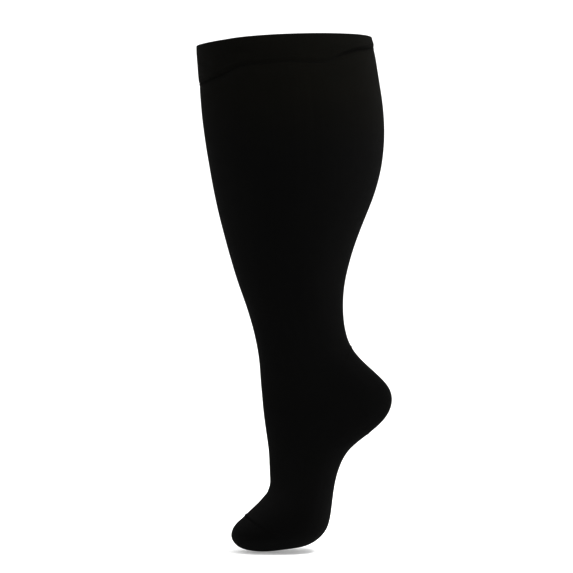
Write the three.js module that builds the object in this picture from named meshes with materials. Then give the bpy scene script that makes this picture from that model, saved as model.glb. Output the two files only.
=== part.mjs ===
// A knee-high compression stocking in black knit, hollow, filled out as if worn,
// with the heel lifted and the toes bent. Millimetres, +Z up, -Y the shin and toes.
// The origin is the middle of the top opening, where the leg holds the stocking.
import * as THREE from 'three';

// Driving dimensions
const wallThickness = 1.2; // one ply of knit
const weltProud = 0.7; // how far the doubled top band stands out and in from the leg
const foldRise = 0.9; // how far the band's turned fold rises above the first full ring
const foldShare = 0.4; // how much of the band's extra thickness is left on top of the fold
const seamGap = 0.3; // between two knitted areas
const columns = 40; // points round the stocking, a multiple of four
const weltRows = 5;
const legRows = 24;
const heelRows = 9;
const footRows = 14;
const toeRows = 9;

// Heel pocket: a cup knitted into the back half of the tube, from one side of the ankle to the other
const heelCorner = 349; // its corners, measured down the stocking's middle line
const heelAbove = 44; // how far it climbs above the corners at the back
const heelBelow = 50; // how far it runs under the foot
const heelBlunt = 0.008; // the share of these two that is left at the corners

// Toe pocket: a cup that closes the end, with a seam over the toes
const toeStart = 509; // its edge at the sides, down the middle line
const toeLean = 4; // how much later it starts over the toes, and earlier under them

// Sections from the rim to the tip of the toes. front and back are the ends of a section in
// the side plane as [y, z], halfWidth is its reach to each side, fuller moves its widest
// place to the back (or to the front if negative) and square flattens its round.
const sections = [
  { front: [-88.0, -4.3], back: [87.7, 3.7], halfWidth: 83, fuller: 0.0, square: 0.02 },
  { front: [-85.5, -37], back: [93.5, -34], halfWidth: 84.5, fuller: 0.02, square: 0.02 },
  { front: [-82.5, -74], back: [98.8, -73], halfWidth: 84.5, fuller: 0.05, square: 0.02 },
  { front: [-77.2, -113], back: [98.0, -113], halfWidth: 81, fuller: 0.08, square: 0.02 },
  { front: [-69.8, -153], back: [89.0, -153], halfWidth: 73.5, fuller: 0.09, square: 0.02 },
  { front: [-60.1, -193], back: [73.4, -193], halfWidth: 62.5, fuller: 0.07, square: 0.02 },
  { front: [-48.8, -233], back: [61.4, -233], halfWidth: 51, fuller: 0.04, square: 0.02 },
  { front: [-37.0, -267], back: [58.4, -267], halfWidth: 42.5, fuller: 0.0, square: 0.03 },
  { front: [-28.9, -297], back: [63.3, -297], halfWidth: 38, fuller: -0.05, square: 0.05 },
  { front: [-25.2, -319], back: [78.5, -318.8], halfWidth: 36.5, fuller: -0.07, square: 0.09 },
  { front: [-23.7, -339], back: [99.6, -338.9], halfWidth: 35.5, fuller: -0.06, square: 0.14 },
  { front: [-22.2, -358], back: [106.9, -357], halfWidth: 34.5, fuller: -0.05, square: 0.17 },
  { front: [-20.3, -377], back: [98.2, -377.2], halfWidth: 34, fuller: -0.02, square: 0.15 },
  { front: [-17.3, -397], back: [74.9, -397.3], halfWidth: 34, fuller: 0.02, square: 0.11 },
  { front: [-15.5, -413], back: [59.8, -413.2], halfWidth: 35, fuller: 0.06, square: 0.09 },
  { front: [-14.8, -430], back: [51.8, -433], halfWidth: 37.5, fuller: 0.09, square: 0.09 },
  { front: [-15.2, -443], back: [48.1, -453], halfWidth: 41, fuller: 0.1, square: 0.1 },
  { front: [-20.4, -452.9], back: [45.8, -471.1], halfWidth: 44.5, fuller: 0.1, square: 0.1 },
  { front: [-26.7, -460.1], back: [40.2, -488.1], halfWidth: 46, fuller: 0.09, square: 0.1 },
  { front: [-34.4, -467.3], back: [24.3, -500.9], halfWidth: 45, fuller: 0.07, square: 0.09 },
  { front: [-41.3, -473.9], back: [2.2, -505.6], halfWidth: 42, fuller: 0.05, square: 0.08 },
  { front: [-46.9, -478.7], back: [-18.8, -507.8], halfWidth: 37, fuller: 0.03, square: 0.06 },
  { front: [-50.6, -483.1], back: [-35.3, -506.8], halfWidth: 29, fuller: 0.01, square: 0.04 },
  { front: [-52.6, -487.5], back: [-46.6, -503.0], halfWidth: 18, fuller: 0.0, square: 0.02 },
  { front: [-53.0, -495.0], back: [-53.0, -495.0], halfWidth: 0, fuller: 0.0, square: 0.0 },
];

// The welt's lower edge isn't level: it climbs from the shin to the back of the knee.
// angle runs from the shin (0) over +X (90) to the back (180), depth is below the rim,
// groove is how deep the edge presses into the leg, and rim is how far the rim above it
// rises or dips.
const weltEdge = [
  { angle: 0, depth: 41.5, groove: 0.3, rim: -0.7 },
  { angle: 12, depth: 41, groove: 0.8, rim: -0.85 },
  { angle: 25, depth: 40, groove: 1.3, rim: -0.85 },
  { angle: 46, depth: 33.7, groove: 1.2, rim: -0.35 },
  { angle: 60, depth: 28, groove: 0.8, rim: 0.25 },
  { angle: 75, depth: 26.9, groove: 0.6, rim: 0.45 },
  { angle: 90, depth: 25.7, groove: 0.6, rim: 0.4 },
  { angle: 114, depth: 26.6, groove: 0.8, rim: 0.2 },
  { angle: 127, depth: 20, groove: 1.4, rim: 0 },
  { angle: 142, depth: 14.8, groove: 1.6, rim: -0.1 },
  { angle: 160, depth: 12.2, groove: 1.2, rim: -0.05 },
  { angle: 180, depth: 9.8, groove: 0.4, rim: 0 },
  { angle: 210, depth: 13, groove: 1.1, rim: 0.3 },
  { angle: 240, depth: 24, groove: 0.8, rim: -0.2 },
  { angle: 275, depth: 28, groove: 0.6, rim: 0.35 },
  { angle: 305, depth: 31, groove: 0.9, rim: 0.1 },
  { angle: 335, depth: 39, groove: 1.2, rim: -0.5 },
];
const rimReach = 9; // how far down the cloth the rim's rise is felt
const grooveWidth = 6.4; // from the middle of the groove to where it has mostly faded

// Finishes: the heel and toe are a closer knit, and the top band catches the most light
const knit = { color: 0x070707, roughness: 0.85 };
const closeKnit = { color: 0x060606, roughness: 0.9 };
const bandKnit = { color: 0x0b0a0a, roughness: 0.75 };

const degree = Math.PI / 180;
const last = sections.length - 1;
const probe = 0.01; // the small step, in rows or radians, that slopes are measured with

// A cubic spline through evenly spaced values, as a function of the row number. It runs
// straight at its ends, or comes level at the last one.
function splineThrough(values, levelEnd) {
  const n = values.length;
  const bend = new Array(n).fill(0);
  const pivot = new Array(n).fill(0);
  for (let i = 1; i < n - 1; i++) {
    const share = 4 - pivot[i - 1];
    pivot[i] = 1 / share;
    const second = 6 * (values[i + 1] - 2 * values[i] + values[i - 1]);
    bend[i] = (second - bend[i - 1]) / share;
  }
  if (levelEnd) {
    const pull = 6 * (values[n - 2] - values[n - 1]);
    bend[n - 1] = (pull - bend[n - 2]) / (2 - pivot[n - 2]);
  }
  for (let i = n - 2; i > 0; i--) bend[i] -= pivot[i] * bend[i + 1];
  return (row) => {
    const i = Math.min(Math.max(Math.floor(row), 0), n - 2);
    const b = row - i;
    const a = 1 - b;
    const curve = ((a ** 3 - a) * bend[i] + (b ** 3 - b) * bend[i + 1]) / 6;
    return a * values[i] + b * values[i + 1] + curve;
  };
}

// Each section as its middle and its reach from there to the front. The middle comes level
// at the last one, so the toes end in a round tip.
const column = (pick, levelEnd = false) => splineThrough(sections.map(pick), levelEnd);
const middleY = column((s) => (s.front[0] + s.back[0]) / 2, true);
const middleZ = column((s) => (s.front[1] + s.back[1]) / 2, true);
const reachY = column((s) => (s.front[0] - s.back[0]) / 2);
const reachZ = column((s) => (s.front[1] - s.back[1]) / 2);
const halfWidth = column((s) => s.halfWidth);
const fuller = column((s) => s.fuller);
const square = column((s) => s.square);

// Distance down the middle line at each row, and the row at a distance.
const distances = [0];
for (let i = 1; i <= last; i++) {
  const [a, b] = [sections[i - 1], sections[i]];
  const stepY = (b.front[0] + b.back[0] - a.front[0] - a.back[0]) / 2;
  const stepZ = (b.front[1] + b.back[1] - a.front[1] - a.back[1]) / 2;
  distances.push(distances[i - 1] + Math.hypot(stepY, stepZ));
}
function rowAt(distance) {
  let i = 0;
  while (i < last - 1 && distances[i + 1] < distance) i++;
  return i + (distance - distances[i]) / (distances[i + 1] - distances[i]);
}

// A point of the stocking's smooth outer face, with no folds.
function smoothPoint(row, angle) {
  const flatten = (x) => Math.sign(x) * Math.abs(x) ** (1 - square(row));
  const along = flatten(Math.cos(angle)); // +1 at the shin, -1 at the back
  const across = flatten(Math.sin(angle));
  return new THREE.Vector3(
    halfWidth(row) * across * (1 - fuller(row) * along),
    middleY(row) + reachY(row) * along,
    middleZ(row) + reachZ(row) * along,
  );
}

// The direction that faces out of the cloth.
function outward(row, angle) {
  const r = Math.min(row, last - 2 * probe);
  const down = smoothPoint(r + probe, angle).sub(smoothPoint(r - probe, angle));
  const around = smoothPoint(r, angle + probe).sub(smoothPoint(r, angle - probe));
  return down.cross(around).normalize();
}

// The welt's table, read at any angle by a curve through its rows that closes round the leg.
function weltAt(angle, name) {
  const degrees = THREE.MathUtils.euclideanModulo(angle / degree, 360);
  const n = weltEdge.length;
  const at = (i) => weltEdge[(i + n) % n];
  const gap = (i) => THREE.MathUtils.euclideanModulo(at(i + 1).angle - at(i).angle, 360);
  const slope = (i) => (at(i + 1)[name] - at(i - 1)[name]) / (gap(i - 1) + gap(i));
  const i = weltEdge.findLastIndex((r) => r.angle <= degrees);
  const t = (degrees - at(i).angle) / gap(i);
  const blend = t * t * (3 - 2 * t);
  const bend = gap(i) * t * (1 - t) * (slope(i) * (1 - t) - slope(i + 1) * t);
  return THREE.MathUtils.lerp(at(i)[name], at(i + 1)[name], blend) + bend;
}

// Near the welt, a number of rows as a distance down the cloth.
function nearWelt(rows) {
  return rows * (distances[1] - distances[0]);
}

// How far the cloth lies in from the smooth face: the groove along the welt's lower edge.
function groove(row, angle) {
  const away = nearWelt(row - rowAt(weltAt(angle, 'depth')));
  return weltAt(angle, 'groove') * Math.exp(-((away / grooveWidth) ** 2));
}

function clothPoint(row, angle, lift) {
  const point = smoothPoint(row, angle);
  point.addScaledVector(outward(row, angle), lift - groove(row, angle));
  point.z += weltAt(angle, 'rim') * Math.exp(-nearWelt(row) / rimReach);
  return point;
}

// A closed wall from rings of outer points and the rings of inner points under them.
// open says that the rings don't run all the way round, tipped that they end in a point.
function clothWall(outer, inner, { open = false, tipped = false } = {}) {
  const rings = [...outer, ...inner];
  const width = outer[0].length;
  const index = (ring, i) => ring * width + (i % width);
  const triangles = [];
  const quad = (a, b, c, d) => triangles.push(a, b, c, a, c, d);
  const span = open ? width - 1 : width;
  const n = outer.length;
  for (let i = 0; i < span; i++) {
    for (let r = 0; r < n - 1; r++) {
      const [o, q] = [r, n + r];
      if (tipped && r === n - 2) {
        triangles.push(index(o, i), index(o + 1, 0), index(o, i + 1));
        triangles.push(index(q, i), index(q, i + 1), index(q + 1, 0));
      } else {
        quad(index(o, i), index(o + 1, i), index(o + 1, i + 1), index(o, i + 1));
        quad(index(q, i), index(q, i + 1), index(q + 1, i + 1), index(q + 1, i));
      }
    }
    quad(index(0, i), index(0, i + 1), index(n, i + 1), index(n, i));
    if (!tipped) {
      quad(index(n - 1, i), index(2 * n - 1, i), index(2 * n - 1, i + 1), index(n - 1, i + 1));
    }
  }
  for (let r = 0; open && r < n - 1; r++) {
    quad(index(r, 0), index(n + r, 0), index(n + r + 1, 0), index(r + 1, 0));
    const end = width - 1;
    quad(index(r, end), index(r + 1, end), index(n + r + 1, end), index(n + r, end));
  }
  const geometry = new THREE.BufferGeometry();
  geometry.setAttribute(
    'position',
    new THREE.Float32BufferAttribute(rings.flat().flatMap((p) => p.toArray()), 3),
  );
  geometry.setIndex(triangles);
  geometry.computeVertexNormals();
  return geometry;
}

// Rings of points between two edges, each edge a function of the angle that gives a row.
function ringsBetween(top, bottom, count, angles, lift) {
  return Array.from({ length: count + 1 }, (_, k) =>
    angles.map((angle) => {
      const row = THREE.MathUtils.lerp(top(angle), bottom(angle), k / count);
      return clothPoint(row, angle, lift);
    }),
  );
}

const allRound = Array.from({ length: columns }, (_, i) => (i / columns) * 2 * Math.PI);
const backHalf = allRound.slice(columns / 4, (3 * columns) / 4 + 1); // from +X round the back to -X

// Edges of the knitted areas, as the distance down the stocking at each angle.
const heelShare = (angle) => Math.max(0, heelBlunt - Math.cos(angle));
const weltBottom = (angle) => weltAt(angle, 'depth');
const heelTop = (angle) => heelCorner - heelAbove * heelShare(angle);
const heelBottom = (angle) => heelCorner + heelBelow * heelShare(angle);
const toeTop = (angle) => toeStart + toeLean * Math.cos(angle);

// The row that lies half a seam's gap after (or before) an edge, at each angle.
function beside(edge, side) {
  return (angle) => {
    const row = rowAt(edge(angle));
    const reach = smoothPoint(row + probe, angle).distanceTo(smoothPoint(row - probe, angle));
    return row + (side * seamGap * probe) / reach;
  };
}
const after = (edge) => beside(edge, 1);
const before = (edge) => beside(edge, -1);

function piece(name, geometry, finish) {
  const mesh = new THREE.Mesh(geometry, new THREE.MeshStandardMaterial({ ...finish, metalness: 0 }));
  mesh.name = name;
  return mesh;
}

// One ply of knit between two edges.
function knitArea(name, finish, top, bottom, count, angles, options) {
  const outer = ringsBetween(top, bottom, count, angles, 0);
  const inner = ringsBetween(top, bottom, count, angles, -wallThickness);
  return piece(name, clothWall(outer, inner, options), finish);
}

// The top band: knit turned over and doubled, with a round fold at the rim.
function welt() {
  const rim = () => 0;
  const rise = new THREE.Vector3(0, 0, foldRise);
  const face = (lift, foldLift) => {
    const fold = allRound.map((angle) => clothPoint(0, angle, foldLift).add(rise));
    return [fold, ...ringsBetween(rim, before(weltBottom), weltRows, allRound, lift)];
  };
  const outer = face(weltProud, weltProud * foldShare);
  const inner = face(-wallThickness - weltProud, -wallThickness - weltProud * foldShare);
  return piece('welt', clothWall(outer, inner), bandKnit);
}

const tip = () => last;
const leg = knitArea('leg', knit, after(weltBottom), before(heelTop), legRows, allRound);
const foot = knitArea('foot', knit, after(heelBottom), before(toeTop), footRows, allRound);
const toe = knitArea('toe', closeKnit, after(toeTop), tip, toeRows, allRound, { tipped: true });
const heelEdges = [after(heelTop), before(heelBottom)];
const heel = knitArea('heel', closeKnit, ...heelEdges, heelRows, backHalf, { open: true });

const stocking = new THREE.Group();
stocking.name = 'compression_stocking';
stocking.add(welt(), leg, heel, foot, toe);

export default stocking;
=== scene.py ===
import math
import bpy
import numpy as np
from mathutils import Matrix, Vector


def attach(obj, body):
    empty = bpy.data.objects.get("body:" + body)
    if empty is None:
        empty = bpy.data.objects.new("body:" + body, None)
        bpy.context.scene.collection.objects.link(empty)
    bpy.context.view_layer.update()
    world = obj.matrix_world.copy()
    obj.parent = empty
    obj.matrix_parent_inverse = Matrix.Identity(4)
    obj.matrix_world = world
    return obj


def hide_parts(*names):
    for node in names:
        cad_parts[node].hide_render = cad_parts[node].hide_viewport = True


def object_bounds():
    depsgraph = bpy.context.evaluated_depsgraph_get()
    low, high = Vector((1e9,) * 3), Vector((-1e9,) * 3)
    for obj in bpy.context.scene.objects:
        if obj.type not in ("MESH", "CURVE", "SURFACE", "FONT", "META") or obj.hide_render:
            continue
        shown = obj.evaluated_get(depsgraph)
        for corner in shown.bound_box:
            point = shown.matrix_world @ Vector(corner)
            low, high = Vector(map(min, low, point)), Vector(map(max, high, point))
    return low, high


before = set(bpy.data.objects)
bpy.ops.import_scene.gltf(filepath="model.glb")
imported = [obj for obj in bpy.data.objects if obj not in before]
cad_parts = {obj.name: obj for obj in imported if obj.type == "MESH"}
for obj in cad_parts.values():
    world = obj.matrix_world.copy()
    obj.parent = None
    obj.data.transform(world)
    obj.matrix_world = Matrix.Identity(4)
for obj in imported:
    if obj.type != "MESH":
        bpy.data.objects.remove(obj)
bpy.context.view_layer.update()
print("frame loaded:", sorted(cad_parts))

mm = 0.001
turn = 2 * math.pi


# The form of the worn stocking, the same as the solids have: sections from the rim to the tip of
# the toes, in millimetres. front and back are a section's ends in the side plane as (y, z).
sections = [
    {"front": (-88.0, -4.3), "back": (87.7, 3.7), "halfWidth": 83, "fuller": 0.0, "square": 0.02},
    {"front": (-85.5, -37), "back": (93.5, -34), "halfWidth": 84.5, "fuller": 0.02, "square": 0.02},
    {"front": (-82.5, -74), "back": (98.8, -73), "halfWidth": 84.5, "fuller": 0.05, "square": 0.02},
    {"front": (-77.2, -113), "back": (98.0, -113), "halfWidth": 81, "fuller": 0.08, "square": 0.02},
    {"front": (-69.8, -153), "back": (89.0, -153), "halfWidth": 73.5, "fuller": 0.09, "square": 0.02},
    {"front": (-60.1, -193), "back": (73.4, -193), "halfWidth": 62.5, "fuller": 0.07, "square": 0.02},
    {"front": (-48.8, -233), "back": (61.4, -233), "halfWidth": 51, "fuller": 0.04, "square": 0.02},
    {"front": (-37.0, -267), "back": (58.4, -267), "halfWidth": 42.5, "fuller": 0.0, "square": 0.03},
    {"front": (-28.9, -297), "back": (63.3, -297), "halfWidth": 38, "fuller": -0.05, "square": 0.05},
    {"front": (-25.2, -319), "back": (78.5, -318.8), "halfWidth": 36.5, "fuller": -0.07, "square": 0.09},
    {"front": (-23.7, -339), "back": (99.6, -338.9), "halfWidth": 35.5, "fuller": -0.06, "square": 0.14},
    {"front": (-22.2, -358), "back": (106.9, -357), "halfWidth": 34.5, "fuller": -0.05, "square": 0.17},
    {"front": (-20.3, -377), "back": (98.2, -377.2), "halfWidth": 34, "fuller": -0.02, "square": 0.15},
    {"front": (-17.3, -397), "back": (74.9, -397.3), "halfWidth": 34, "fuller": 0.02, "square": 0.11},
    {"front": (-15.5, -413), "back": (59.8, -413.2), "halfWidth": 35, "fuller": 0.06, "square": 0.09},
    {"front": (-14.8, -430), "back": (51.8, -433), "halfWidth": 37.5, "fuller": 0.09, "square": 0.09},
    {"front": (-15.2, -443), "back": (48.1, -453), "halfWidth": 41, "fuller": 0.1, "square": 0.1},
    {"front": (-20.4, -452.9), "back": (45.8, -471.1), "halfWidth": 44.5, "fuller": 0.1, "square": 0.1},
    {"front": (-26.7, -460.1), "back": (40.2, -488.1), "halfWidth": 46, "fuller": 0.09, "square": 0.1},
    {"front": (-34.4, -467.3), "back": (24.3, -500.9), "halfWidth": 45, "fuller": 0.07, "square": 0.09},
    {"front": (-41.3, -473.9), "back": (2.2, -505.6), "halfWidth": 42, "fuller": 0.05, "square": 0.08},
    {"front": (-46.9, -478.7), "back": (-18.8, -507.8), "halfWidth": 37, "fuller": 0.03, "square": 0.06},
    {"front": (-50.6, -483.1), "back": (-35.3, -506.8), "halfWidth": 29, "fuller": 0.01, "square": 0.04},
    {"front": (-52.6, -487.5), "back": (-46.6, -503.0), "halfWidth": 18, "fuller": 0.0, "square": 0.02},
    {"front": (-53.0, -495.0), "back": (-53.0, -495.0), "halfWidth": 0, "fuller": 0.0, "square": 0.0},
]
lastRow = len(sections) - 1

# The band's lower edge: angle runs from the shin (0) over +X (90) to the back (180), in degrees.
# depth is below the rim, groove is how far the edge presses into the leg, crease is how sharply
# the seam is drawn in there, and rim is how far the fold above it rises or dips.
bandEdge = [
    {"angle": 0, "depth": 41.5, "groove": 0.3, "crease": 0.1, "rim": -0.8},
    {"angle": 12, "depth": 41, "groove": 0.8, "crease": 0.9, "rim": -1.1},
    {"angle": 25, "depth": 40, "groove": 1.3, "crease": 1.5, "rim": -1.3},
    {"angle": 46, "depth": 33.7, "groove": 1.2, "crease": 1.4, "rim": -0.8},
    {"angle": 60, "depth": 28, "groove": 0.8, "crease": 0.5, "rim": 0.0},
    {"angle": 75, "depth": 26.9, "groove": 0.6, "crease": 0.3, "rim": 0.35},
    {"angle": 90, "depth": 25.7, "groove": 0.6, "crease": 0.25, "rim": 0.4},
    {"angle": 114, "depth": 26.6, "groove": 0.8, "crease": 0.6, "rim": 0.2},
    {"angle": 127, "depth": 20, "groove": 1.4, "crease": 1.7, "rim": 0.0},
    {"angle": 142, "depth": 14.8, "groove": 1.6, "crease": 2.2, "rim": -0.1},
    {"angle": 160, "depth": 12.2, "groove": 1.2, "crease": 1.5, "rim": -0.05},
    {"angle": 180, "depth": 9.8, "groove": 0.4, "crease": 0.15, "rim": 0.0},
    {"angle": 210, "depth": 13, "groove": 1.1, "crease": 1.3, "rim": 0.3},
    {"angle": 240, "depth": 24, "groove": 0.8, "crease": 0.7, "rim": -0.2},
    {"angle": 275, "depth": 28, "groove": 0.6, "crease": 0.3, "rim": 0.35},
    {"angle": 305, "depth": 31, "groove": 0.9, "crease": 0.9, "rim": 0.1},
    {"angle": 335, "depth": 39, "groove": 1.2, "crease": 1.5, "rim": -0.5},
]


# A cubic spline through evenly spaced values, as a function of the row number. It runs straight at
# its ends, or comes level at the last one.
def splineThrough(values, levelEnd=False):
    values = np.array(values, float)
    n = len(values)
    system = np.eye(n)
    pull = np.zeros(n)
    for i in range(1, n - 1):
        system[i, i - 1:i + 2] = (1, 4, 1)
        pull[i] = 6 * (values[i + 1] - 2 * values[i] + values[i - 1])
    if levelEnd:
        system[n - 1, n - 2:] = (1, 2)
        pull[n - 1] = 6 * (values[n - 2] - values[n - 1])
    bend = np.linalg.solve(system, pull)

    def at(row):
        i = np.clip(np.floor(row).astype(int), 0, n - 2)
        b = row - i
        a = 1 - b
        curve = ((a ** 3 - a) * bend[i] + (b ** 3 - b) * bend[i + 1]) / 6
        return a * values[i] + b * values[i + 1] + curve

    return at


# Each section as its middle and its reach from there to the front. The middle comes level at the
# last one, so the toes end in a round tip.
middles = np.array([(np.array(s["front"]) + np.array(s["back"])) / 2 for s in sections])
reaches = np.array([(np.array(s["front"]) - np.array(s["back"])) / 2 for s in sections])
middleY = splineThrough(middles[:, 0], levelEnd=True)
middleZ = splineThrough(middles[:, 1], levelEnd=True)
reachY = splineThrough(reaches[:, 0])
reachZ = splineThrough(reaches[:, 1])
halfWidth = splineThrough([s["halfWidth"] for s in sections])
fuller = splineThrough([s["fuller"] for s in sections])
square = splineThrough([s["square"] for s in sections])

# Distance down the middle line at each row.
distances = np.concatenate([[0], np.cumsum(np.linalg.norm(np.diff(middles, axis=0), axis=1))])
totalDistance = distances[-1]


def rowAt(distance):
    return np.interp(distance, distances, np.arange(lastRow + 1))


# A point of the smooth outer face in millimetres, at a row and an angle from the shin.
def smoothPoint(row, angle):
    power = 1 - square(row)
    along = np.sign(np.cos(angle)) * np.abs(np.cos(angle)) ** power
    across = np.sign(np.sin(angle)) * np.abs(np.sin(angle)) ** power
    x = halfWidth(row) * across * (1 - fuller(row) * along)
    y = middleY(row) + reachY(row) * along
    z = middleZ(row) + reachZ(row) * along
    return np.stack([x, y, z], axis=-1)


# The direction that faces out of the cloth.
def outward(row, angle):
    probe = 0.01  # the small step, in rows or radians, that slopes are measured with
    row = np.minimum(row, lastRow - 2 * probe)
    down = smoothPoint(row + probe, angle) - smoothPoint(row - probe, angle)
    around = smoothPoint(row, angle + probe) - smoothPoint(row, angle - probe)
    normal = np.cross(down, around)
    return normal / np.linalg.norm(normal, axis=-1, keepdims=True)


# The band's table read at any angle, by a curve through its rows that closes round the leg.
def bandAt(angle, name):
    degrees = np.degrees(angle) % 360
    count = len(bandEdge)
    angles = np.array([r["angle"] for r in bandEdge] + [360], float)
    values = np.array([r[name] for r in bandEdge], float)
    before = np.roll(values, 1)
    after = np.roll(values, -1)
    gapBefore = np.diff(np.concatenate([[angles[-2] - 360], angles[:-1]]))
    gapAfter = np.diff(angles)
    slopes = (after - before) / (gapBefore + gapAfter)
    i = np.clip(np.searchsorted(angles, degrees, side="right") - 1, 0, count - 1)
    j = (i + 1) % count
    gap = gapAfter[i]
    t = (degrees - angles[i]) / gap
    value = (2 * t ** 3 - 3 * t ** 2 + 1) * values[i] + (3 * t ** 2 - 2 * t ** 3) * values[j]
    return value + gap * ((t ** 3 - 2 * t ** 2 + t) * slopes[i] + (t ** 3 - t ** 2) * slopes[j])


# Seams and the turns of the heel and toe, as distances down the stocking
seams = {
    "heelCorner": 349,  # the heel cup's corners at the sides of the ankle
    "heelAbove": 44,  # how far the cup climbs at the back
    "heelBelow": 50,  # how far it runs under the foot
    "toeStart": 509,  # the toe cup's edge at the sides
    "toeLean": 4,  # how much later it starts over the toes, and earlier under them
}


def heelTop(angle):
    return seams["heelCorner"] + seams["heelAbove"] * np.minimum(0, np.cos(angle))


def heelBottom(angle):
    return seams["heelCorner"] - seams["heelBelow"] * np.minimum(0, np.cos(angle))


def toeTop(angle):
    return seams["toeStart"] + seams["toeLean"] * np.cos(angle)


# Soft folds in the worn cloth, each from one (angle, distance) to another. rise is below zero for
# a trough. width and rise are in millimetres.
folds = [
    # on the camera's side, by the band
    {"start": (4, 60), "end": (44, 47), "width": 5.0, "rise": 0.8},
    {"start": (14, 18), "end": (36, 26), "width": 3.0, "rise": -0.8},
    {"start": (20, 11), "end": (48, 16), "width": 3.4, "rise": 0.45},
    {"start": (50, 13), "end": (68, 16), "width": 2.6, "rise": -0.6},
    {"start": (74, 40), "end": (104, 36), "width": 5.0, "rise": 0.35},
    {"start": (112, 15), "end": (152, 3), "width": 3.5, "rise": 0.9},
    {"start": (122, 38), "end": (160, 24), "width": 6.0, "rise": 0.8},
    {"start": (138, 52), "end": (178, 44), "width": 5.5, "rise": -0.55},
    # the same kind on the hidden side
    {"start": (318, 50), "end": (352, 60), "width": 5.0, "rise": 0.7},
    {"start": (300, 14), "end": (326, 20), "width": 3.0, "rise": -0.7},
    {"start": (258, 40), "end": (290, 44), "width": 5.5, "rise": 0.4},
    {"start": (204, 26), "end": (242, 42), "width": 5.5, "rise": 0.8},
    {"start": (212, 4), "end": (238, 13), "width": 3.0, "rise": 0.7},
    {"start": (186, 50), "end": (214, 56), "width": 5.0, "rise": -0.5},
    # behind the ankle, where the cloth turns to the heel
    {"start": (128, 262), "end": (176, 256), "width": 4.5, "rise": -0.45},
    {"start": (186, 276), "end": (230, 268), "width": 4.5, "rise": -0.5},
    {"start": (120, 292), "end": (164, 300), "width": 4.5, "rise": 0.45},
    {"start": (192, 300), "end": (236, 294), "width": 4.5, "rise": 0.4},
    # over the instep, where the foot turns down
    {"start": (18, 386), "end": (62, 378), "width": 5.5, "rise": -0.4},
    {"start": (300, 380), "end": (340, 388), "width": 5.5, "rise": -0.4},
    # under the arch and over the bent toes
    {"start": (132, 420), "end": (176, 414), "width": 4.5, "rise": -0.5},
    {"start": (186, 430), "end": (232, 436), "width": 4.5, "rise": -0.5},
    {"start": (120, 440), "end": (158, 446), "width": 4.0, "rise": 0.35},
    {"start": (-40, 466), "end": (14, 470), "width": 3.5, "rise": -0.6},
    {"start": (4, 480), "end": (52, 476), "width": 3.2, "rise": -0.55},
    {"start": (-56, 485), "end": (-18, 488), "width": 3.0, "rise": -0.45},
    {"start": (24, 492), "end": (66, 490), "width": 3.4, "rise": 0.35},
]


def bell(x, width):
    return np.exp(-((x / width) ** 2))


def smooth(x):
    x = np.clip(x, 0, 1)
    return x * x * (3 - 2 * x)


# Half of the leg's mean width at a distance down the stocking.
def radiusAt(distance):
    row = rowAt(distance)
    return (halfWidth(row) + np.hypot(reachY(row), reachZ(row))) / 2


# How far the folds lift the cloth at a distance and an angle.
def foldLift(distance, angle):
    lift = np.zeros(np.broadcast(distance, angle).shape)
    for fold in folds:
        startAngle, startDistance = fold["start"]
        endAngle, endDistance = fold["end"]
        middleAngle = math.radians((startAngle + endAngle) / 2)
        middleDistance = (startDistance + endDistance) / 2
        # flat coordinates round the fold's middle: across is round the leg, along is down it
        away = (angle - middleAngle + math.pi) % turn - math.pi
        across = away * radiusAt(distance)
        along = distance - middleDistance
        halfAngle = math.radians(endAngle - startAngle) / 2
        halfRun = np.array([halfAngle * radiusAt(middleDistance), (endDistance - startDistance) / 2])
        length = np.linalg.norm(halfRun)
        run = halfRun / length
        onRun = (across * run[0] + along * run[1]) / length
        offRun = -across * run[1] + along * run[0]
        taper = np.clip(1 - onRun ** 2, 0, 1)
        lift = lift + fold["rise"] * bell(offRun, fold["width"]) * taper
    return lift


# The knit's own unevenness: slow, quick and fine swells, each where two waves cross. A wave is its
# count round the leg, the millimetres down the leg that it takes for each radian, and its start.
knitWaves = [
    {"rise": 0.2, "waves": [(3, 37, 0), (0, 53, 1.3)]},
    {"rise": 0.14, "waves": [(7, -23, 0.6), (2, 31, 0)]},
    {"rise": 0.05, "waves": [(17, 9, 0), (-4, 13, 2)]},
]


def wander(distance, angle):
    lift = 0
    for swell in knitWaves:
        height = swell["rise"]
        for around, down, start in swell["waves"]:
            height = height * np.sin(around * angle + distance / down + start)
        lift = lift + height
    return lift


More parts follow.
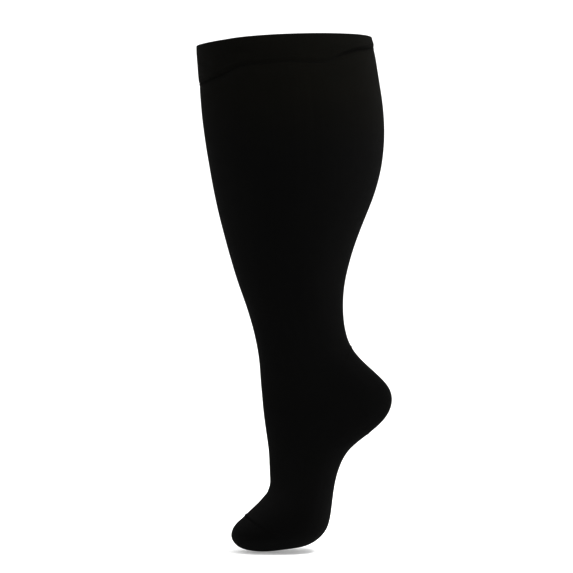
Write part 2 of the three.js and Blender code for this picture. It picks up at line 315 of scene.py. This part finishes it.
# The outer face of the worn cloth: smooth form, band groove, folds and the knitted-in turns.
band = {
    "proud": 0.5,  # how far the doubled band stands out of the leg
    "grooveWidth": 6.4,
    "roll": 0.6,  # how far the band's lower edge swells over the seam, for each mm of crease
    "rollAbove": 3.6,  # where the swelling is fullest, above the seam
    "rollWidth": 2.6,
    "stitchPull": 1.0,  # how far the linking pulls the seam in, for each mm of crease
    "stitchWidth": 1.9,
    "pucker": 0.1,  # small gathers beside the seam
    "puckersRound": 64,
    "puckerReach": 6,
    "puckerCrowding": 1.7,  # how far the gathers shift towards each other, in radians of a gather
    "puckerCrowds": 5,  # places round the leg where they crowd
    "puckerSlack": 0.4,  # half of the share of their height that comes and goes
    "puckerSlacks": 3,  # places round the leg where they are slack
    "puckerStart": 1,
    "shoulder": 5,  # over this height the band rises to its full thickness
    "tuckAtShin": 0.3,  # how far the band leans in towards its fold at the rim
    "tuckAtCalf": 1.1,
    "tuckReach": 4.2,
    "ply": 0.8,
    "plyGap": 0.55,
    "foldHeight": 1.1,  # the fold's height over half its width
    "rimReach": 9,  # how far down the band the rim's rise is felt
    "hemLift": 1.2,  # the inner hem ends this much above the seam
    "hemDrawn": 0.28,  # the share of the inner face, by the hem, that is drawn against the outer one
    "hemGap": 0.1,
    "hemStitchProud": 0.17,  # how far the hem's stitches stand out of the inner ply
    "foldSteps": 9,
    "outerSteps": 40,
    "innerSteps": 22,
    "crowding": 0.8,  # below 1, the rings stand closer by the seam than by the rim
}
turns = {
    "ridge": 0.22,  # the raised line where the heel's courses turn
    "ridgeWidth": 1.7,
    "ankleRadius": 45,  # keeps the ridge as wide where the turn slants round the ankle
    "toeRidge": 0.22,  # the linked seam over the toes
    "toeRidgeWidth": 1.1,
    "toeWrap": 0.3,  # how far round to the sole the seam goes, as a cosine
    "toeFade": 0.25,
    "edge": 2.0,  # the closer knit starts over this width
    "tipFade": 12,  # the knit lies even over this last stretch
}


# The band's lower edge: a soft groove, a swell above the seam, the seam drawn in, and gathers.
def bandLift(distance, angle):
    away = distance - bandAt(angle, "depth")
    crease = bandAt(angle, "crease")
    lift = -bandAt(angle, "groove") * bell(away, band["grooveWidth"])
    lift = lift + crease * band["roll"] * bell(away + band["rollAbove"], band["rollWidth"])
    lift = lift - crease * band["stitchPull"] * bell(away, band["stitchWidth"])
    # the gathers crowd in some places and are slack in others
    shift = band["puckerCrowding"] * np.sin(band["puckerCrowds"] * angle)
    crowded = angle * band["puckersRound"] + shift
    swing = np.sin(band["puckerSlacks"] * angle + band["puckerStart"])
    slack = 1 - band["puckerSlack"] + band["puckerSlack"] * swing
    lift = lift + band["pucker"] * np.sin(crowded) * slack * bell(away, band["puckerReach"])
    return lift + band["proud"] * smooth(-away / band["shoulder"])


# The raised lines where the heel's courses turn and where the toe is linked.
def turnLift(distance, angle):
    slant = np.sqrt(1 + (seams["heelAbove"] * np.sin(angle) / turns["ankleRadius"]) ** 2)
    ridges = 0
    for edge in (heelTop(angle), heelBottom(angle)):
        ridges = ridges + turns["ridge"] * bell((distance - edge) / slant, turns["ridgeWidth"])
    overToes = np.clip((np.cos(angle) + turns["toeWrap"]) / turns["toeFade"], 0, 1)
    toeSeam = turns["toeRidge"] * bell(distance - toeTop(angle), turns["toeRidgeWidth"])
    return np.where(np.cos(angle) < 0, ridges, 0) + overToes * toeSeam


def clothLift(distance, angle):
    even = np.clip((totalDistance - distance) / turns["tipFade"], 0, 1)
    shaped = bandLift(distance, angle) + turnLift(distance, angle) + foldLift(distance, angle)
    return shaped + wander(distance, angle) * even


def clothPoint(distance, angle, lift=0.0):
    row = rowAt(distance)
    out = outward(row, angle)
    return smoothPoint(row, angle) + out * (clothLift(distance, angle) + lift)[..., None]


# 1 in the closer knit of the heel and toe, 0 in the rest.
def closeKnit(distance, angle):
    inHeel = np.minimum(distance - heelTop(angle), heelBottom(angle) - distance)
    inToe = distance - toeTop(angle)
    inside = np.maximum(np.where(np.cos(angle) < 0, inHeel, -turns["edge"]), inToe)
    return np.clip(inside / turns["edge"] + 0.5, 0, 1)


# A grid of points as a mesh, closed round the leg. down is each ring's place down the knit, from 0
# to 1. The last ring may be a single point.
def clothMesh(name, points, down, close=None, tipped=False):
    rings, columns = points.shape[:2]
    vertices = points.reshape(-1, 3) * mm
    faces = []
    corners = []
    for r in range(rings - 1):
        for i in range(columns):
            j = (i + 1) % columns
            face = [(r, i, i), (r + 1, i, i), (r + 1, j, i + 1), (r, j, i + 1)]
            if tipped and r == rings - 2:
                face = [(r, i, i), (r + 1, 0, i + 0.5), (r, j, i + 1)]
            faces.append([ring * columns + column for ring, column, at in face])
            corners += [(ring, at) for ring, column, at in face]
    if tipped:
        vertices = vertices[:(rings - 1) * columns + 1]
    mesh = bpy.data.meshes.new(name)
    mesh.from_pydata(vertices.tolist(), [], faces)
    layer = mesh.uv_layers.new(name="knit")
    uv = np.array([(at / columns, ring) for ring, at in corners], float)
    uv[:, 1] = down[uv[:, 1].astype(int)]
    layer.data.foreach_set("uv", uv.ravel())
    if close is not None:
        shade = mesh.attributes.new("closeKnit", "FLOAT", "POINT")
        shade.data.foreach_set("value", close.ravel()[:len(vertices)])
    for polygon in mesh.polygons:
        polygon.use_smooth = True
    mesh.update()
    piece = bpy.data.objects.new(name, mesh)
    bpy.context.collection.objects.link(piece)
    return piece


# Turns a piece's modifiers into plain mesh.
def asPlainMesh(piece):
    depsgraph = bpy.context.evaluated_depsgraph_get()
    made = bpy.data.meshes.new_from_object(piece.evaluated_get(depsgraph))
    piece.modifiers.clear()
    old = piece.data
    piece.data = made
    bpy.data.meshes.remove(old)
    made.name = piece.name
    return piece


def thicken(piece, thickness):
    wall = piece.modifiers.new("ply", "SOLIDIFY")
    wall.thickness = thickness * mm
    wall.offset = -1
    wall.use_even_offset = True
    return asPlainMesh(piece)


def surfaceArea(piece):
    return sum(polygon.area for polygon in piece.data.polygons)


# Materials

knitLook = {
    "color": (0.0026, 0.0026, 0.0025),
    "warmTintPaintedLightColor": (0.0035, 0.0033, 0.0024),  # the upper calf and band are painted a little warmer and lighter: a warm tint and painted light from above
    "paintedLightFrom": -0.125,  # metres below the rim
    "paintedLightTo": -0.045,
    "closeShade": 0.9,  # how dark the closer knit of the heel and toe is beside the rest
    "roughness": 0.82,
    "specular": 0.02,
    "sheen": 0.012,
    "sheenRoughness": 0.5,
    "wales": 400,
    "courses": 950,
    "stitchDepth": 0.0003,
    "stitchStrength": 0.9,
    "paintedHollowShade": 0.6,  # painted shade: how much darker the hollows between the loops are painted
    "stitchMean": 0.4,  # the mean height of a stitch, where its shade is the dye's own
    "slub": 0.00025,  # unevenness of the yarn
    "slubStrength": 0.8,
    "slubScale": 420,
    "slubDetail": 3,
    "streaks": 0.2,
    "streakScale": (220, 3, 1),  # many round the leg, long down it
    "streakDetail": 2,
    "clouds": 0.2,
    "cloudScale": 34,
    "cloudDetail": 4,
    "cloudRoughness": 0.08,
}
bandLook = {
    **knitLook,
    "courses": 90,
    "stitchDepth": 0.00034,
    "streaks": 0.12,
}
yarnLook = {
    "color": (0.0029, 0.0029, 0.0027),
    "roughness": 0.78,
    "specular": 0.03,
    "sheen": 0.02,
    "sheenRoughness": 0.5,
    "twistScale": 2600,
    "twistDetail": 2,
    "twistShade": 0.5,  # added to the noise, so that its mean shade is the dye's own
    "twistDepth": 0.00008,
    "twistStrength": 0.7,
}


def mathNode(nodes, links, operation, first, second=None):
    node = nodes.new("ShaderNodeMath")
    node.operation = operation
    for socket, value in zip(node.inputs, (first, second)):
        if value is None:
            continue
        if isinstance(value, (int, float)):
            socket.default_value = value
        else:
            links.new(value, socket)
    return node.outputs[0]


# Plain knit: each stitch is a V of two slanted legs, laid out on the cloth's own wales and courses.
def knitMaterial(name, look):
    material = bpy.data.materials.new(name)
    material.use_nodes = True
    nodes = material.node_tree.nodes
    links = material.node_tree.links
    shader = nodes["Principled BSDF"]
    shader.inputs["Specular IOR Level"].default_value = look["specular"]
    shader.inputs["Sheen Weight"].default_value = look["sheen"]
    shader.inputs["Sheen Roughness"].default_value = look["sheenRoughness"]

    uvMap = nodes.new("ShaderNodeUVMap")
    uvMap.uv_map = "knit"
    split = nodes.new("ShaderNodeSeparateXYZ")
    links.new(uvMap.outputs[0], split.inputs[0])
    wales = mathNode(nodes, links, "MULTIPLY", split.outputs[0], look["wales"])
    wale = mathNode(nodes, links, "FRACT", wales)
    fromMiddle = mathNode(nodes, links, "ABSOLUTE", mathNode(nodes, links, "SUBTRACT", wale, 0.5))
    course = mathNode(nodes, links, "MULTIPLY", split.outputs[1], look["courses"])
    slanted = mathNode(nodes, links, "FRACT", mathNode(nodes, links, "SUBTRACT", course, fromMiddle))
    legHeight = mathNode(nodes, links, "SINE", mathNode(nodes, links, "MULTIPLY", fromMiddle, turn))
    loopHeight = mathNode(nodes, links, "SINE", mathNode(nodes, links, "MULTIPLY", slanted, math.pi))
    stitch = mathNode(nodes, links, "MULTIPLY", legHeight, loopHeight)

    # the yarn's unevenness under the stitches
    place = nodes.new("ShaderNodeTexCoord")
    slub = nodes.new("ShaderNodeTexNoise")
    slub.inputs["Scale"].default_value = look["slubScale"]
    slub.inputs["Detail"].default_value = look["slubDetail"]
    links.new(place.outputs["Object"], slub.inputs["Vector"])
    uneven = nodes.new("ShaderNodeBump")
    uneven.inputs["Strength"].default_value = look["slubStrength"]
    uneven.inputs["Distance"].default_value = look["slub"]
    links.new(slub.outputs[0], uneven.inputs["Height"])
    bump = nodes.new("ShaderNodeBump")
    bump.inputs["Strength"].default_value = look["stitchStrength"]
    bump.inputs["Distance"].default_value = look["stitchDepth"]
    links.new(stitch, bump.inputs["Height"])
    links.new(uneven.outputs[0], bump.inputs["Normal"])
    links.new(bump.outputs[0], shader.inputs["Normal"])

    # colour: a warm tint and painted light that make the top warmer and lighter, cloudy dye, fine streaks
    # down the wales
    height = nodes.new("ShaderNodeSeparateXYZ")
    links.new(place.outputs["Object"], height.inputs[0])
    # painted light: the dye is blended to a lighter, warmer colour towards the top, where the light falls
    # from above
    paintedLightTop = nodes.new("ShaderNodeMapRange")
    paintedLightTop.interpolation_type = "SMOOTHSTEP"
    paintedLightTop.inputs["From Min"].default_value = look["paintedLightFrom"]
    paintedLightTop.inputs["From Max"].default_value = look["paintedLightTo"]
    links.new(height.outputs["Z"], paintedLightTop.inputs["Value"])
    tintAndPaintedLight = nodes.new("ShaderNodeMix")
    tintAndPaintedLight.data_type = "RGBA"
    tintAndPaintedLight.inputs["A"].default_value = (*look["color"], 1)
    tintAndPaintedLight.inputs["B"].default_value = (*look["warmTintPaintedLightColor"], 1)
    links.new(paintedLightTop.outputs["Result"], tintAndPaintedLight.inputs["Factor"])

    cloud = nodes.new("ShaderNodeTexNoise")
    cloud.inputs["Scale"].default_value = look["cloudScale"]
    cloud.inputs["Detail"].default_value = look["cloudDetail"]
    links.new(place.outputs["Object"], cloud.inputs["Vector"])
    run = nodes.new("ShaderNodeMapping")
    run.inputs["Scale"].default_value = look["streakScale"]
    links.new(uvMap.outputs[0], run.inputs["Vector"])
    # the mapping stretches the streaks, so their noise keeps a scale of 1
    streak = nodes.new("ShaderNodeTexNoise")
    streak.inputs["Scale"].default_value = 1
    streak.inputs["Detail"].default_value = look["streakDetail"]
    links.new(run.outputs[0], streak.inputs["Vector"])

    # a factor that is 1 where the value is at its middle, and strays from 1 by the spread
    def varied(value, spread, middle=0.5):
        offset = mathNode(nodes, links, "SUBTRACT", value, middle)
        scaled = mathNode(nodes, links, "MULTIPLY", offset, 2 * spread)
        return mathNode(nodes, links, "ADD", scaled, 1)

    clouds = varied(cloud.outputs[0], look["clouds"])
    streaks = varied(streak.outputs[0], look["streaks"])
    level = mathNode(nodes, links, "MULTIPLY", clouds, streaks)
    # painted shade: the hollows between the loops are painted darker than the dye's own colour
    paintedHollowShadeFactor = varied(stitch, look["paintedHollowShade"], look["stitchMean"])
    level = mathNode(nodes, links, "MULTIPLY", level, paintedHollowShadeFactor)

    # the heel and toe are knitted closer and look a little deeper
    close = nodes.new("ShaderNodeAttribute")
    close.attribute_name = "closeKnit"
    deeper = mathNode(nodes, links, "MULTIPLY", close.outputs["Fac"], look["closeShade"] - 1)
    level = mathNode(nodes, links, "MULTIPLY", level, mathNode(nodes, links, "ADD", deeper, 1))
    shade = nodes.new("ShaderNodeVectorMath")
    shade.operation = "SCALE"
    links.new(tintAndPaintedLight.outputs["Result"], shade.inputs[0])
    links.new(level, shade.inputs["Scale"])
    links.new(shade.outputs[0], shader.inputs["Base Color"])

    clouded = varied(cloud.outputs[0], look["cloudRoughness"])
    rough = mathNode(nodes, links, "MULTIPLY", clouded, look["roughness"])
    links.new(rough, shader.inputs["Roughness"])
    return material


# Sewing and linking yarn, with a fine twist.
def yarnMaterial(name, look):
    material = bpy.data.materials.new(name)
    material.use_nodes = True
    nodes = material.node_tree.nodes
    links = material.node_tree.links
    shader = nodes["Principled BSDF"]
    shader.inputs["Specular IOR Level"].default_value = look["specular"]
    shader.inputs["Sheen Weight"].default_value = look["sheen"]
    shader.inputs["Sheen Roughness"].default_value = look["sheenRoughness"]
    place = nodes.new("ShaderNodeTexCoord")
    twist = nodes.new("ShaderNodeTexNoise")
    twist.inputs["Scale"].default_value = look["twistScale"]
    twist.inputs["Detail"].default_value = look["twistDetail"]
    links.new(place.outputs["Object"], twist.inputs["Vector"])
    bump = nodes.new("ShaderNodeBump")
    bump.inputs["Strength"].default_value = look["twistStrength"]
    bump.inputs["Distance"].default_value = look["twistDepth"]
    links.new(twist.outputs[0], bump.inputs["Height"])
    links.new(bump.outputs[0], shader.inputs["Normal"])
    shade = nodes.new("ShaderNodeVectorMath")
    shade.operation = "SCALE"
    shade.inputs[0].default_value = look["color"]
    level = mathNode(nodes, links, "ADD", twist.outputs[0], look["twistShade"])
    links.new(level, shade.inputs["Scale"])
    links.new(shade.outputs[0], shader.inputs["Base Color"])
    rough = mathNode(nodes, links, "MULTIPLY", level, look["roughness"])
    links.new(rough, shader.inputs["Roughness"])
    return material


knitFinish = knitMaterial("compression knit", knitLook)
bandFinish = knitMaterial("band knit", bandLook)
yarnFinish = yarnMaterial("seam yarn", yarnLook)
print("materials made")


# The stocking below the band: leg, heel, foot and toe in one knitted tube.
tube = {
    "columns": 152,
    "ply": 0.8,
    "topBlend": 100,  # above this distance the rings follow the band's uneven edge
    # rings are this far apart from each distance on
    "spacing": [(0, 0.8), (14, 1.6), (30, 2.8), (250, 2.3), (300, 1.9), (400, 2.3), (460, 1.6),
                (502, 0.75), (516, 1.2), (540, 0.8)],
}


def ringDistances():
    rings = [0.0]
    while rings[-1] < totalDistance:
        step = [s for start, s in tube["spacing"] if start <= rings[-1]][-1]
        rings.append(rings[-1] + step)
    rings = np.array(rings)
    return rings * totalDistance / rings[-1]


def makeTube():
    angles = np.arange(tube["columns"]) / tube["columns"] * turn
    rings = ringDistances()
    top = bandAt(angles, "depth")
    share = np.clip(rings / tube["topBlend"], 0, 1)[:, None]
    blended = top + share * (tube["topBlend"] - top)
    distance = np.where(rings[:, None] < tube["topBlend"], blended, rings[:, None])
    angle = np.broadcast_to(angles, distance.shape)
    points = clothPoint(distance, angle)
    close = closeKnit(distance, angle)
    piece = clothMesh("stocking_tube", points, rings / totalDistance, close, tipped=True)
    area = surfaceArea(piece)
    piece.data.materials.append(knitFinish)
    return thicken(piece, tube["ply"]), area


stockingTube, tubeArea = makeTube()
print("tube made: %.4f m2 of worn cloth, %d faces" % (tubeArea, len(stockingTube.data.polygons)))


# How far the band leans in, towards its fold at the rim and more at the calf than at the shin.
def rimLean(distance, angle):
    towardsCalf = (1 - np.cos(angle)) / 2
    tuck = band["tuckAtShin"] + (band["tuckAtCalf"] - band["tuckAtShin"]) * towardsCalf
    return -tuck * bell(distance, band["tuckReach"])


# The band: the same tube turned inwards at the rim and linked down behind itself.
def makeBand():
    angles = np.arange(tube["columns"]) / tube["columns"] * turn
    depth = bandAt(angles, "depth")
    rim = np.zeros_like(depth)
    innerLift = -2 * band["ply"] - band["plyGap"]
    radius = -innerLift / 2
    # run is how far each ring lies from the seam, over the fold, at the band's mean height
    height = depth.mean()
    rings = []
    run = []
    # up the outside, from the seam to the rim
    for k in range(band["outerSteps"] + 1):
        share = (1 - k / band["outerSteps"]) ** band["crowding"]
        rings.append(clothPoint(depth * share, angles, rimLean(depth * share, angles)))
        run.append(height * (1 - share))
    # over the fold: half a circle from the outer face to the inner one
    outer = clothPoint(rim, angles, rimLean(rim, angles))
    out = outward(rowAt(rim), angles)
    for k in range(1, band["foldSteps"]):
        around = math.pi * k / band["foldSteps"]
        move = out * (math.cos(around) - 1) * radius
        rise = np.array([0, 0, 1]) * math.sin(around) * radius * band["foldHeight"]
        rings.append(outer + move + rise)
        run.append(height + radius * around)
    # down the inside to the hem
    for k in range(band["innerSteps"] + 1):
        share = k / band["innerSteps"]
        distance = (depth - band["hemLift"]) * share
        drawn = smooth(1 - (1 - share) / band["hemDrawn"]) * (band["plyGap"] - band["hemGap"])
        rings.append(clothPoint(distance, angles, innerLift + rimLean(distance, angles) + drawn))
        run.append(height + radius * math.pi + (height - band["hemLift"]) * share)
    points = np.array(rings)
    # the fold rises and dips a little round the rim, fading out down the band
    belowRim = points[:, :, 2].max(axis=0) - points[:, :, 2]
    points[:, :, 2] += bandAt(angles, "rim") * np.exp(-belowRim / band["rimReach"])
    piece = clothMesh("top_band", points, np.array(run) / run[-1])
    area = surfaceArea(piece)
    piece.data.materials.append(bandFinish)
    piece.data.flip_normals()
    return thicken(piece, band["ply"]), area


topBand, bandArea = makeBand()
print("band made: %.4f m2 of worn cloth, %d faces" % (bandArea, len(topBand.data.polygons)))


# How finely one stitch is drawn: points along its bow and round its yarn.
stitchDetail = {"along": 5, "round": 5}


# Stitches by Geometry Nodes: small bowed loops of yarn set along a seam's path, with their backs out.
def stitchTree():
    tree = bpy.data.node_groups.new("stitches along a seam", "GeometryNodeTree")
    face = tree.interface
    face.new_socket("Geometry", in_out="INPUT", socket_type="NodeSocketGeometry")
    for name in ("Spacing", "Length", "Bow", "Yarn Radius", "Lean", "Unevenness"):
        face.new_socket(name, in_out="INPUT", socket_type="NodeSocketFloat")
    face.new_socket("Seed", in_out="INPUT", socket_type="NodeSocketInt")
    face.new_socket("Finish", in_out="INPUT", socket_type="NodeSocketMaterial")
    face.new_socket("Geometry", in_out="OUTPUT", socket_type="NodeSocketGeometry")
    nodes, links = tree.nodes, tree.links
    given = nodes.new("NodeGroupInput").outputs
    done = nodes.new("NodeGroupOutput").inputs

    def add(kind, **settings):
        node = nodes.new(kind)
        for key, value in settings.items():
            setattr(node, key, value)
        return node

    # the path, with a point for each stitch
    path = add("GeometryNodeMeshToCurve")
    spaced = add("GeometryNodeResampleCurve", mode="LENGTH")
    links.new(given["Geometry"], path.inputs[0])
    links.new(path.outputs[0], spaced.inputs["Curve"])
    links.new(given["Spacing"], spaced.inputs["Length"])

    # one stitch: a bowed segment given the yarn's thickness
    half = add("ShaderNodeMath", operation="MULTIPLY")
    half.inputs[1].default_value = 0.5
    links.new(given["Length"], half.inputs[0])
    minus = add("ShaderNodeMath", operation="MULTIPLY")
    minus.inputs[1].default_value = -1
    links.new(half.outputs[0], minus.inputs[0])
    ends = []
    for side, height in ((minus, None), (minus, "Bow"), (half, "Bow"), (half, None)):
        point = add("ShaderNodeCombineXYZ")
        links.new(side.outputs[0], point.inputs["X"])
        if height:
            links.new(given[height], point.inputs["Z"])
        ends.append(point)
    bow = add("GeometryNodeCurvePrimitiveBezierSegment")
    bow.inputs["Resolution"].default_value = stitchDetail["along"]
    for socket, point in zip(("Start", "Start Handle", "End Handle", "End"), ends):
        links.new(point.outputs[0], bow.inputs[socket])
    circle = add("GeometryNodeCurvePrimitiveCircle")
    circle.inputs["Resolution"].default_value = stitchDetail["round"]
    links.new(given["Yarn Radius"], circle.inputs["Radius"])
    yarn = add("GeometryNodeCurveToMesh")
    yarn.inputs["Fill Caps"].default_value = True
    links.new(bow.outputs[0], yarn.inputs["Curve"])
    links.new(circle.outputs[0], yarn.inputs["Profile Curve"])

    # turned along the seam, back out, with a lean and a little unevenness
    tangent = add("GeometryNodeInputTangent")
    out = add("GeometryNodeInputNamedAttribute", data_type="FLOAT_VECTOR")
    out.inputs["Name"].default_value = "outward"
    turned = add("FunctionNodeAxesToRotation", primary_axis="Z", secondary_axis="X")
    links.new(out.outputs[0], turned.inputs["Primary Axis"])
    links.new(tangent.outputs[0], turned.inputs["Secondary Axis"])
    lean = add("FunctionNodeEulerToRotation")
    leanVector = add("ShaderNodeCombineXYZ")
    links.new(given["Lean"], leanVector.inputs["Z"])
    links.new(leanVector.outputs[0], lean.inputs[0])
    both = add("FunctionNodeRotateRotation", rotation_space="LOCAL")
    links.new(turned.outputs[0], both.inputs[0])
    links.new(lean.outputs[0], both.inputs[1])
    least = add("ShaderNodeMath", operation="SUBTRACT")
    least.inputs[0].default_value = 1
    links.new(given["Unevenness"], least.inputs[1])
    most = add("ShaderNodeMath", operation="ADD")
    most.inputs[0].default_value = 1
    links.new(given["Unevenness"], most.inputs[1])
    size = add("FunctionNodeRandomValue", data_type="FLOAT")
    links.new(least.outputs[0], size.inputs[2])
    links.new(most.outputs[0], size.inputs[3])
    links.new(given["Seed"], size.inputs["Seed"])
    placed = add("GeometryNodeInstanceOnPoints")
    links.new(spaced.outputs[0], placed.inputs["Points"])
    links.new(yarn.outputs[0], placed.inputs["Instance"])
    links.new(both.outputs[0], placed.inputs["Rotation"])
    links.new(size.outputs[1], placed.inputs["Scale"])

    real = add("GeometryNodeRealizeInstances")
    finish = add("GeometryNodeSetMaterial")
    links.new(placed.outputs[0], real.inputs[0])
    links.new(real.outputs[0], finish.inputs["Geometry"])
    links.new(given["Finish"], finish.inputs["Material"])
    links.new(finish.outputs[0], done[0])
    return tree


stitches = stitchTree()

# Each seam has its own stitches: sizes in millimetres, lean in degrees. sink is how deep the seam's
# path lies in the cloth.
seamStitches = {
    "band_stitches": {"Spacing": 2.3, "Length": 1.9, "Bow": 0.35, "Yarn Radius": 0.2, "Lean": 20,
                      "Unevenness": 0.12, "Seed": 3, "sink": 0.02},
    "heel_turn_stitches": {"Spacing": 2.4, "Length": 1.5, "Bow": 0.3, "Yarn Radius": 0.16, "Lean": 62,
                           "Unevenness": 0.1, "Seed": 5, "sink": 0.05},
    "toe_seam_stitches": {"Spacing": 1.5, "Length": 2.2, "Bow": 0.5, "Yarn Radius": 0.22, "Lean": 74,
                          "Unevenness": 0.1, "Seed": 8, "sink": 0.1},
}


# Paths are lists of (distances, angles, closed, depth, side), laid on the cloth. depth is how far
# under its face they run, and side is -1 for stitches that face into the stocking.
def makeStitches(name, paths, finish):
    sizes = seamStitches[name]
    vertices, edges, normals = [], [], []
    for distance, angle, closed, depth, side in paths:
        first = len(vertices)
        vertices += (clothPoint(distance, angle, -depth - side * sizes["sink"]) * mm).tolist()
        normals += (side * outward(rowAt(distance), angle)).tolist()
        last = len(vertices) - 1
        edges += [(i, i + 1) for i in range(first, last)]
        if closed:
            edges.append((last, first))
    mesh = bpy.data.meshes.new(name)
    mesh.from_pydata(vertices, edges, [])
    facing = mesh.attributes.new("outward", "FLOAT_VECTOR", "POINT")
    facing.data.foreach_set("vector", np.array(normals).ravel())
    piece = bpy.data.objects.new(name, mesh)
    bpy.context.collection.objects.link(piece)
    sewing = piece.modifiers.new("stitches", "NODES")
    sewing.node_group = stitches
    for item in stitches.interface.items_tree:
        if item.item_type != "SOCKET" or item.in_out != "INPUT" or item.name == "Geometry":
            continue
        value = finish if item.name == "Finish" else sizes[item.name]
        if item.name in ("Spacing", "Length", "Bow", "Yarn Radius"):
            value = value * mm
        if item.name == "Lean":
            value = math.radians(value)
        sewing[item.identifier] = value
    return asPlainMesh(piece)


# Where the stitches run, in degrees from the shin over +X: the heel's turns stop just short of the
# cup's corners, and the toe's seam goes over the toes alone.
seamPaths = {
    "roundStep": 1.5,
    "partPoints": 90,
    "heel": (94, 266),
    "toe": (-98, 98),
}


# All the way round the leg, at an edge of the band.
def roundPath(edge, depth=0, side=1):
    angle = np.radians(np.arange(0, 360, seamPaths["roundStep"]))
    return edge(angle), angle, True, depth, side


# From one angle to another, in degrees, along the edge of the heel or toe.
def partPath(edge, start, end):
    angle = np.radians(np.linspace(start, end, seamPaths["partPoints"]))
    return edge(angle), angle, False, 0, 1


def bandSeam(angle):
    return bandAt(angle, "depth")


def bandHem(angle):
    return bandAt(angle, "depth") - band["hemLift"] - seamStitches["band_stitches"]["Yarn Radius"]


hemDepth = 2 * band["ply"] + band["hemGap"] + band["hemStitchProud"]
bandPaths = [roundPath(bandSeam), roundPath(bandHem, hemDepth, -1)]
bandStitches = makeStitches("band_stitches", bandPaths, yarnFinish)
heelPaths = [partPath(edge, *seamPaths["heel"]) for edge in (heelTop, heelBottom)]
heelStitches = makeStitches("heel_turn_stitches", heelPaths, yarnFinish)
toePaths = [partPath(toeTop, *seamPaths["toe"])]
toeStitches = makeStitches("toe_seam_stitches", toePaths, yarnFinish)
for piece in (bandStitches, heelStitches, toeStitches):
    print("stitches made:", piece.name, len(piece.data.polygons), "faces")


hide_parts("leg", "heel", "foot", "toe")
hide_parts("welt")
for piece, slot in (
    (stockingTube, "compression_knit"),
    (topBand, "band_knit"),
    (bandStitches, "band_knit"),
    (heelStitches, "pocket_knit"),
    (toeStitches, "pocket_knit"),
):
    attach(piece, "root")

print("pieces placed")


# A pale floor under the toes, white surroundings and soft studio light
studio = {
    "floorGap": 0.0008,
    "floorSize": 40,
    "floorColor": (0.72, 0.72, 0.72, 1),
    "floorRoughness": 0.9,
    "floorGlow": 0.4,  # the floor gives a little light, so the toes cast hardly any shadow
    "worldColor": (1, 1, 1, 1),
    "worldStrength": 1.2,
    "gamma": 0.75,  # the picture's blacks are printed deep
    "lights": [
        {"name": "key", "at": (0.5, 0.5, 0.62), "aim": (0, 0.04, -0.05), "size": 0.5, "power": 24},
        {"name": "fill", "at": (1.6, -1.7, 0.6), "aim": (0, -0.02, -0.3), "size": 1.4, "power": 8},
    ],
}


def lookAt(thing, target):
    direction = np.array(target) - np.array(thing.location)
    across, forward, up = direction
    tilt = math.atan2(math.hypot(across, forward), -up)
    heading = math.atan2(-across, forward)
    thing.rotation_euler = (tilt, 0, heading)


def makeFloor():
    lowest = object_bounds()[0].z - studio["floorGap"]
    half = studio["floorSize"] / 2
    mesh = bpy.data.meshes.new("floor")
    corners = [(-half, -half, lowest), (half, -half, lowest), (half, half, lowest), (-half, half, lowest)]
    mesh.from_pydata(corners, [], [(0, 1, 2, 3)])
    floor = bpy.data.objects.new("floor", mesh)
    bpy.context.collection.objects.link(floor)
    material = bpy.data.materials.new("floor")
    material.use_nodes = True
    shader = material.node_tree.nodes["Principled BSDF"]
    shader.inputs["Base Color"].default_value = studio["floorColor"]
    shader.inputs["Roughness"].default_value = studio["floorRoughness"]
    shader.inputs["Emission Color"].default_value = studio["worldColor"]
    shader.inputs["Emission Strength"].default_value = studio["floorGlow"]
    mesh.materials.append(material)


def makeLights():
    world = bpy.data.worlds.new("studio")
    world.use_nodes = True
    background = world.node_tree.nodes["Background"]
    background.inputs["Color"].default_value = studio["worldColor"]
    background.inputs["Strength"].default_value = studio["worldStrength"]
    bpy.context.scene.world = world
    for given in studio["lights"]:
        light = bpy.data.lights.new(given["name"], "AREA")
        light.energy = given["power"]
        light.size = given["size"]
        lamp = bpy.data.objects.new(given["name"], light)
        lamp.location = given["at"]
        lookAt(lamp, given["aim"])
        bpy.context.collection.objects.link(lamp)


# The camera stands level with the middle of the stocking, square to its side. middle is where the
# middle of the picture falls, in metres behind the rim's middle and above it.
camera = {
    "away": 2.8,
    "middle": (0.00175, -0.2439),
    "lens": 176.1,
    "sensor": 36,
}


def makeCamera():
    lens = bpy.data.cameras.new("camera")
    lens.lens = camera["lens"]
    lens.sensor_width = camera["sensor"]
    made = bpy.data.objects.new("camera", lens)
    behind, above = camera["middle"]
    made.location = (camera["away"], behind, above)
    lookAt(made, (0, behind, above))
    bpy.context.collection.objects.link(made)
    bpy.context.scene.camera = made


makeFloor()
makeLights()
makeCamera()
bpy.context.scene.view_settings.view_transform = "Standard"
bpy.context.scene.view_settings.gamma = studio["gamma"]
print("studio made")
